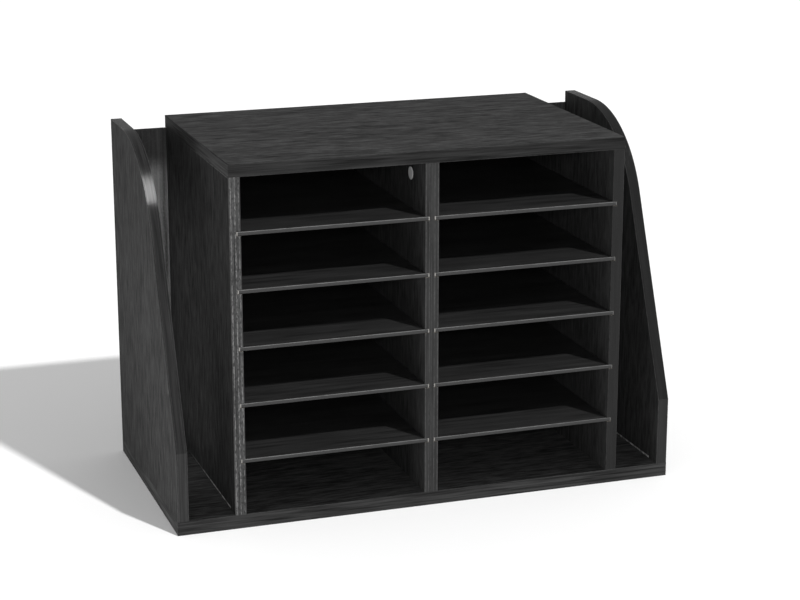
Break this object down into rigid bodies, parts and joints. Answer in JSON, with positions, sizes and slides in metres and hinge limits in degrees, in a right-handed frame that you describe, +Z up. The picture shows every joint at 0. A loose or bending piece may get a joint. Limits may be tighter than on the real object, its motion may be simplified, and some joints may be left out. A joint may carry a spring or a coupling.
{
  "type": "desktop paper and envelope sorter",
  "caption": "Desktop sorter with open compartments between pull-out shelves in two columns, and a side pocket behind a curved panel at each end.",
  "frame": {"origin": "on the floor, at the middle of the footprint", "axes": "+X to the right, +Y from the open front to the back, +Z up"},
  "size_m": [0.664, 0.333, 0.4634],
  "materials": {
    "black_laminate": "satin black wood-grain laminate on particle board",
    "edge_tape": "satin black wood-grain edge tape",
    "shelf_laminate": "satin black laminate on thin fibreboard",
    "back_sheet": "matt black coated hardboard",
    "zinc": "die-cast zinc, bare",
    "zinc_bolt": "zinc-plated steel",
    "grey_cap": "satin grey moulded cap",
    "beech": "plain fluted beech",
    "black_screw": "black-zinc steel",
    "nail_steel": "bright steel nail"
  },
  "bodies": {
    "root": {"base_board": "black_laminate", "top_board": "black_laminate", "outer_side_left": "black_laminate", "outer_side_right": "black_laminate", "inner_side_left": "black_laminate", "inner_side_right": "black_laminate", "centre_divider": "black_laminate", "edge_tape_base": "edge_tape", "edge_tape_top": "edge_tape", "edge_tape_outer_left": "edge_tape", "edge_tape_outer_right": "edge_tape", "edge_tape_inner_left": "edge_tape", "edge_tape_inner_right": "edge_tape", "edge_tape_divider": "edge_tape", "back_panel": "back_sheet", "cam_locks": "zinc", "cam_caps": "grey_cap", "cam_bolts": "zinc_bolt", "top_dowels": "beech", "base_dowels": "beech", "base_screws": "black_screw", "back_nails": "nail_steel"},
    "shelf_left_1_body": {"shelf_left_1": "shelf_laminate"},
    "shelf_left_2_body": {"shelf_left_2": "shelf_laminate"},
    "shelf_left_3_body": {"shelf_left_3": "shelf_laminate"},
    "shelf_left_4_body": {"shelf_left_4": "shelf_laminate"},
    "shelf_left_5_body": {"shelf_left_5": "shelf_laminate"},
    "shelf_right_1_body": {"shelf_right_1": "shelf_laminate"},
    "shelf_right_2_body": {"shelf_right_2": "shelf_laminate"},
    "shelf_right_3_body": {"shelf_right_3": "shelf_laminate"},
    "shelf_right_4_body": {"shelf_right_4": "shelf_laminate"},
    "shelf_right_5_body": {"shelf_right_5": "shelf_laminate"}
  },
  "joints": [
    {"name": "shelf_left_1_slide", "type": "slide", "parent": "root", "child": "shelf_left_1_body", "axis": [0, -1, 0], "range_m": [0, 0.3]},
    {"name": "shelf_left_2_slide", "type": "slide", "parent": "root", "child": "shelf_left_2_body", "axis": [0, -1, 0], "range_m": [0, 0.3]},
    {"name": "shelf_left_3_slide", "type": "slide", "parent": "root", "child": "shelf_left_3_body", "axis": [0, -1, 0], "range_m": [0, 0.3]},
    {"name": "shelf_left_4_slide", "type": "slide", "parent": "root", "child": "shelf_left_4_body", "axis": [0, -1, 0], "range_m": [0, 0.3]},
    {"name": "shelf_left_5_slide", "type": "slide", "parent": "root", "child": "shelf_left_5_body", "axis": [0, -1, 0], "range_m": [0, 0.3]},
    {"name": "shelf_right_1_slide", "type": "slide", "parent": "root", "child": "shelf_right_1_body", "axis": [0, -1, 0], "range_m": [0, 0.3]},
    {"name": "shelf_right_2_slide", "type": "slide", "parent": "root", "child": "shelf_right_2_body", "axis": [0, -1, 0], "range_m": [0, 0.3]},
    {"name": "shelf_right_3_slide", "type": "slide", "parent": "root", "child": "shelf_right_3_body", "axis": [0, -1, 0], "range_m": [0, 0.3]},
    {"name": "shelf_right_4_slide", "type": "slide", "parent": "root", "child": "shelf_right_4_body", "axis": [0, -1, 0], "range_m": [0, 0.3]},
    {"name": "shelf_right_5_slide", "type": "slide", "parent": "root", "child": "shelf_right_5_body", "axis": [0, -1, 0], "range_m": [0, 0.3]}
  ]
}
